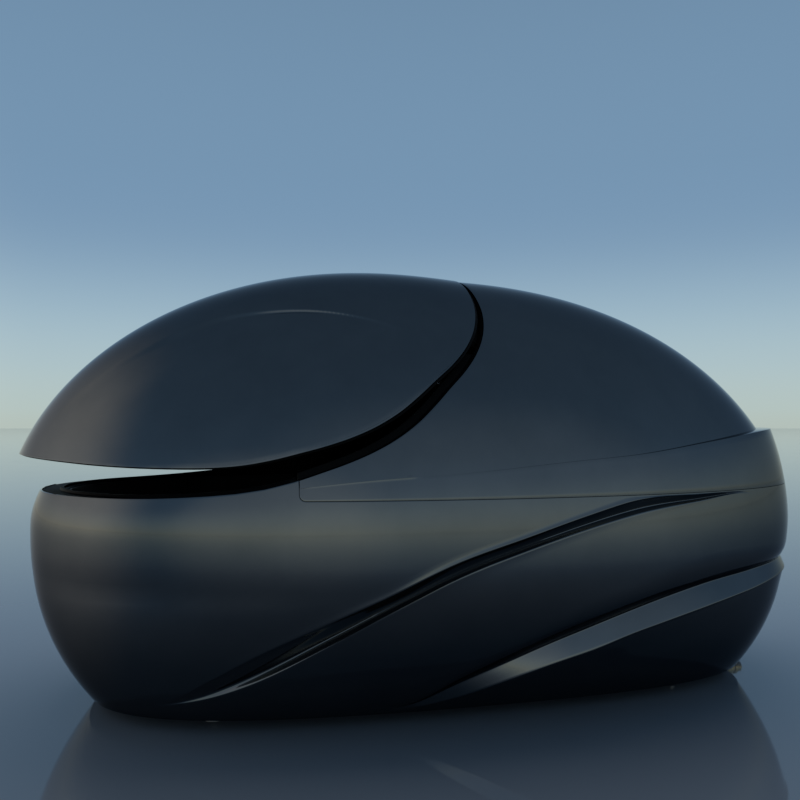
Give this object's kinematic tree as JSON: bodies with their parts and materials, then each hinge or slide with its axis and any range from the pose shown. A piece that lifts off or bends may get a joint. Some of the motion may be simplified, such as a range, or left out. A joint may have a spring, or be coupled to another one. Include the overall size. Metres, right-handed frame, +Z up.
{
  "type": "flotation tank",
  "caption": "Closed egg-shaped flotation tank: grooved tub, fixed rear canopy and a front lid on struts, with basin, frame and water plant inside.",
  "frame": {"origin": "centre of the floor area under the tank, with the lid ajar as it stands", "axes": "+X along the tank to its rear, +Y to its right hand side, +Z up"},
  "size_m": [2.5393, 1.4598, 1.3282],
  "materials": {
    "gloss_shell": "high gloss gel coat, dark graphite blue",
    "inner_black": "smooth black inner moulding",
    "seal_rubber": "soft black seal",
    "stainless": "brushed stainless",
    "fitting_black": "moulded black fitting",
    "button_cap": "pale moulded cap",
    "lens_clear": "frosted lamp lens",
    "frame_paint": "powder coated steel",
    "pipe_white": "white water pipe",
    "pump_plastic": "glass-filled moulding",
    "motor_paint": "painted motor casting",
    "filter_paper": "pleated filter cloth",
    "heater_mat": "silicone heating mat",
    "box_grey": "moulded electrical box",
    "zinc": "zinc plated steel",
    "bronze": "sintered bronze",
    "valve_brass": "nickel plated brass"
  },
  "bodies": {
    "tank": {"tub_shell": "gloss_shell", "basin": "inner_black", "rim_gasket": "seal_rubber", "rim_lip": "inner_black", "canopy_shell": "gloss_shell", "canopy_liner": "inner_black", "canopy_edge_seal": "seal_rubber", "parting_bolts": "stainless", "suction_sump": "fitting_black", "suction_grille": "fitting_black", "return_jets": "fitting_black", "light_housings": "fitting_black", "light_bezels": "stainless", "light_lenses": "lens_clear", "hinge_brackets": "stainless", "hinge_pins": "stainless", "strut_posts_body": "fitting_black", "button_bezels": "stainless", "speakers": "fitting_black", "vent_duct": "fitting_black", "vent_grille": "fitting_black", "frame_rails": "frame_paint", "frame_cross_members": "frame_paint", "cradles": "frame_paint", "outriggers": "frame_paint", "levelling_feet": "zinc", "foot_nuts": "zinc", "heater_mats": "heater_mat", "plant_tray": "frame_paint", "pump_volute": "pump_plastic", "pump_motor": "motor_paint", "filter_housing": "pump_plastic", "filter_cap": "fitting_black", "filter_cartridge": "filter_paper", "uv_unit": "stainless", "water_heater": "stainless", "control_box": "box_grey", "cable_gland": "fitting_black", "suction_pipe": "pipe_white", "pump_branch": "pipe_white", "plant_pipes": "pipe_white", "return_pipe": "pipe_white", "drain_grommet": "seal_rubber", "drain_valve_body": "valve_brass"},
    "lid": {"lid_shell": "gloss_shell", "lid_liner": "inner_black", "lid_edge_seal": "seal_rubber", "lid_handle": "stainless", "hinge_arm_left": "stainless", "hinge_arm_right": "stainless", "hinge_bushes": "bronze", "strut_posts_lid": "fitting_black"},
    "strut_cylinder_left": {"strut_cylinder_left": "fitting_black"},
    "strut_cylinder_right": {"strut_cylinder_right": "fitting_black"},
    "strut_rod_left": {"strut_rod_left": "stainless"},
    "strut_rod_right": {"strut_rod_right": "stainless"},
    "push_button_left": {"push_button_left": "button_cap"},
    "push_button_right": {"push_button_right": "button_cap"},
    "fan_rotor": {"fan_rotor": "fitting_black"},
    "drain_lever": {"drain_valve_lever": "stainless"}
  },
  "joints": [
    {"name": "lid_hinge", "type": "hinge", "parent": "tank", "child": "lid", "pos_m": [0.107, 0, 1.287], "axis": [0, 1, 0], "range_deg": [-4.4, 45.5]},
    {"name": "strut_cylinder_left_pivot", "type": "hinge", "parent": "tank", "child": "strut_cylinder_left", "pos_m": [0.21587, -0.482, 0.85037], "axis": [0, 1, 0], "range_deg": [-4, 23]},
    {"name": "strut_rod_left_pivot", "type": "hinge", "parent": "lid", "child": "strut_rod_left", "pos_m": [-0.21888, -0.482, 0.97667], "axis": [0, 1, 0], "range_deg": [-23, 4]},
    {"name": "strut_cylinder_right_pivot", "type": "hinge", "parent": "tank", "child": "strut_cylinder_right", "pos_m": [0.21587, 0.482, 0.85037], "axis": [0, 1, 0], "range_deg": [-4, 23]},
    {"name": "strut_rod_right_pivot", "type": "hinge", "parent": "lid", "child": "strut_rod_right", "pos_m": [-0.21888, 0.482, 0.97667], "axis": [0, 1, 0], "range_deg": [-23, 4]},
    {"name": "push_button_left_travel", "type": "slide", "parent": "tank", "child": "push_button_left", "axis": [0, -0.9703, -0.2419], "range_m": [0, 0.003], "stiffness_N_per_m": 600},
    {"name": "push_button_right_travel", "type": "slide", "parent": "tank", "child": "push_button_right", "axis": [0, 0.9703, -0.2419], "range_m": [0, 0.003], "stiffness_N_per_m": 600},
    {"name": "fan_spin", "type": "hinge", "parent": "tank", "child": "fan_rotor", "pos_m": [0.48, 0, 1.175], "axis": [0, 0, 1], "continuous": true},
    {"name": "drain_lever_turn", "type": "hinge", "parent": "tank", "child": "drain_lever", "pos_m": [1.154, 0, 0.07], "axis": [0, 0, -1], "range_deg": [0, 90]}
  ],
  "couplings": [
    {"joint": "strut_cylinder_left_pivot", "follows": "lid_hinge", "ratio": 0.5},
    {"joint": "strut_rod_left_pivot", "follows": "lid_hinge", "ratio": -0.5},
    {"joint": "strut_cylinder_right_pivot", "follows": "lid_hinge", "ratio": 0.5},
    {"joint": "strut_rod_right_pivot", "follows": "lid_hinge", "ratio": -0.5}
  ]
}
